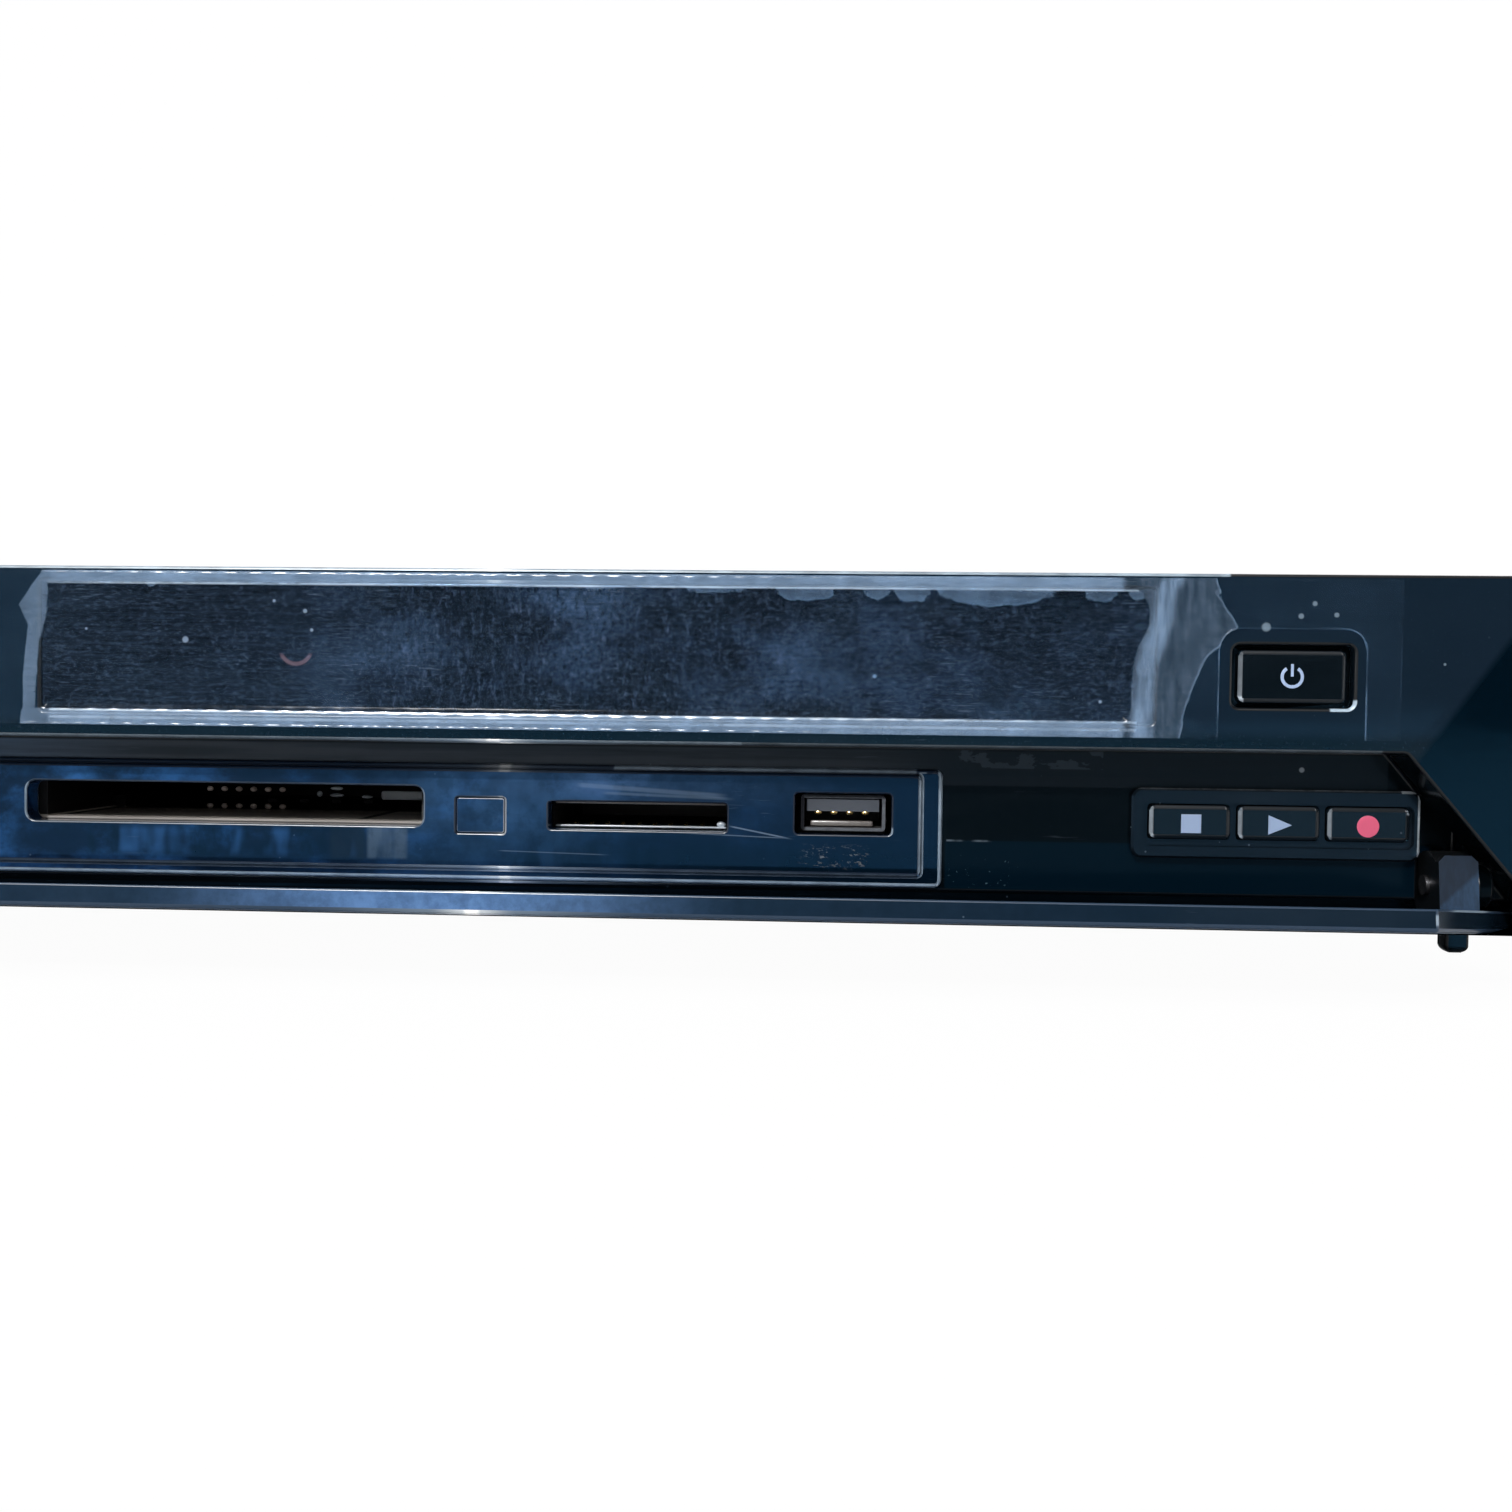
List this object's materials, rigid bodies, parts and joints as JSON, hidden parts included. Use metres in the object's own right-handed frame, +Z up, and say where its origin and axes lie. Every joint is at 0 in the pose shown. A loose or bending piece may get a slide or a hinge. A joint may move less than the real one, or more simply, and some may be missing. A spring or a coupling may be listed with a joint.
{
  "type": "disc recorder",
  "caption": "Slim disc recorder with a flip-down front door, card, memory card and USB slots, push buttons, a geared disc tray, a pickup sled, a hard disk and a fan.",
  "frame": {"origin": "on the surface that it stands on, under the middle of the box round the whole recorder with its door open", "axes": "+X to the right as seen from the front, -Y out of the front, +Z up"},
  "size_m": [0.43, 0.303, 0.06],
  "materials": {
    "gloss_panel": "deep gloss blue-black moulding",
    "recess_black": "gloss black-blue",
    "door_gloss": "gloss blue-black",
    "arm_plastic": "satin grey-blue",
    "smoked_window": "smoked clear acrylic",
    "clear_film": "thin clear film",
    "key_black": "gloss black key",
    "tray_black": "fine grained black",
    "tray_gloss": "gloss navy",
    "frame_black": "matte black moulding",
    "gear_white": "acetal",
    "belt_rubber": "black rubber",
    "foot_rubber": "black rubber",
    "cover_paint": "satin black textured paint",
    "zinc_sheet": "zinc plated sheet",
    "socket_steel": "bright plated",
    "screw_black": "black zinc",
    "board_green": "solder-masked laminate",
    "chip_black": "epoxy",
    "alloy": "plain alloy",
    "core_ferrite": "ferrite and tape",
    "can_sleeve": "shrink sleeve",
    "display_glass": "display tube",
    "reader_grey": "grey moulding",
    "lens_clear": "coated lens",
    "lens_dark": "smoked lens",
    "jack_black": "black moulding",
    "ribbon_white": "white flat cable"
  },
  "bodies": {
    "case": {"front_bezel": "gloss_panel", "display_window": "smoked_window", "protective_film": "clear_film", "slot_panel": "tray_gloss", "indicator_window": "lens_dark", "button_plate": "recess_black", "front_board": "board_green", "display_module": "display_glass", "tact_switches": "chip_black", "hinge_pins": "socket_steel", "card_reader": "reader_grey", "sd_socket": "socket_steel", "usb_socket": "socket_steel", "bottom_chassis": "zinc_sheet", "top_cover": "cover_paint", "rear_panel": "cover_paint", "main_board": "board_green", "board_chips": "chip_black", "heat_sink": "alloy", "power_board": "board_green", "transformer": "core_ferrite", "power_capacitors": "can_sleeve", "hard_drive": "alloy", "hard_drive_bracket": "zinc_sheet", "drive_chassis": "frame_black", "drive_cover": "zinc_sheet", "disc_clamp": "frame_black", "loading_motor": "zinc_sheet", "loading_belt": "belt_rubber", "fan_frame": "jack_black", "tuner_box": "socket_steel", "av_jacks": "jack_black", "network_socket": "jack_black", "hdmi_socket": "socket_steel", "optical_socket": "jack_black", "power_inlet": "jack_black", "flat_cables": "ribbon_white", "case_screws": "screw_black", "feet": "foot_rubber"},
    "door": {"door_panel": "door_gloss", "door_hinge_arms": "arm_plastic"},
    "tray": {"disc_tray": "tray_black", "tray_front": "tray_gloss"},
    "tray_gear_body": {"tray_gear": "gear_white"},
    "pulley_gear_body": {"pulley_gear": "gear_white"},
    "motor_pulley_body": {"motor_pulley": "gear_white"},
    "traverse": {"traverse_frame": "zinc_sheet", "guide_rods": "socket_steel", "spindle_motor": "alloy", "sled_motor": "zinc_sheet"},
    "turntable_body": {"turntable": "frame_black"},
    "pickup": {"pickup_head": "alloy", "pickup_lens": "lens_clear"},
    "lead_screw_body": {"lead_screw": "socket_steel"},
    "rotor": {"fan_rotor": "jack_black"},
    "power_key": {"power_button": "key_black"},
    "open_key": {"open_button": "key_black"},
    "stop_key": {"stop_button": "key_black"},
    "play_key": {"play_button": "key_black"},
    "record_key": {"record_button": "key_black"}
  },
  "joints": [
    {"name": "door_hinge", "type": "hinge", "parent": "case", "child": "door", "pos_m": [0, -0.13154, 0.0149], "axis": [1, 0, 0], "range_deg": [-82.3, 0]},
    {"name": "tray_slide", "type": "slide", "parent": "case", "child": "tray", "axis": [0, -1, 0], "range_m": [0, 0.138]},
    {"name": "tray_gear_spin", "type": "hinge", "parent": "case", "child": "tray_gear_body", "pos_m": [-0.169, -0.10054, 0.0209], "axis": [0, 0, 1], "range_deg": [-5, 795.68]},
    {"name": "pulley_gear_spin", "type": "hinge", "parent": "case", "child": "pulley_gear_body", "pos_m": [-0.15221, -0.09788, 0.0209], "axis": [0, 0, 1], "range_deg": [-1134.55, 5]},
    {"name": "motor_pulley_spin", "type": "hinge", "parent": "case", "child": "motor_pulley_body", "pos_m": [-0.122, -0.10054, 0.0182], "axis": [0, 0, 1], "range_deg": [-4899.7, 5]},
    {"name": "traverse_lift", "type": "hinge", "parent": "case", "child": "traverse", "pos_m": [-0.119, 0.02746, 0.02025], "axis": [-1, 0, 0], "range_deg": [0, 4]},
    {"name": "turntable_spin", "type": "hinge", "parent": "traverse", "child": "turntable_body", "pos_m": [-0.119, -0.05958, 0.01191], "axis": [0, -0.0698, 0.9976], "continuous": true},
    {"name": "pickup_slide", "type": "slide", "parent": "traverse", "child": "pickup", "axis": [0, 0.9976, 0.0698], "range_m": [0, 0.034]},
    {"name": "lead_screw_spin", "type": "hinge", "parent": "traverse", "child": "lead_screw_body", "pos_m": [-0.092, -0.05968, 0.01341], "axis": [0, 0.9976, 0.0698], "range_deg": [-5, 2045]},
    {"name": "fan_spin", "type": "hinge", "parent": "case", "child": "rotor", "pos_m": [0.147, 0.13566, 0.0352], "axis": [0, 1, 0], "continuous": true},
    {"name": "power_press", "type": "slide", "parent": "case", "child": "power_key", "axis": [0, 1, 0], "range_m": [0, 0.0008], "stiffness_N_per_m": 600},
    {"name": "open_press", "type": "slide", "parent": "case", "child": "open_key", "axis": [0, 1, 0], "range_m": [0, 0.0008], "stiffness_N_per_m": 600},
    {"name": "stop_press", "type": "slide", "parent": "case", "child": "stop_key", "axis": [0, 1, 0], "range_m": [0, 0.0008], "stiffness_N_per_m": 600},
    {"name": "play_press", "type": "slide", "parent": "case", "child": "play_key", "axis": [0, 1, 0], "range_m": [0, 0.0008], "stiffness_N_per_m": 600},
    {"name": "record_press", "type": "slide", "parent": "case", "child": "record_key", "axis": [0, 1, 0], "range_m": [0, 0.0008], "stiffness_N_per_m": 600}
  ],
  "couplings": [
    {"joint": "tray_gear_spin", "follows": "tray_slide", "rad_per_m": 100},
    {"joint": "pulley_gear_spin", "follows": "tray_slide", "rad_per_m": -142.86},
    {"joint": "motor_pulley_spin", "follows": "tray_slide", "rad_per_m": -619.05},
    {"joint": "lead_screw_spin", "follows": "pickup_slide", "rad_per_m": 1047.2}
  ]
}
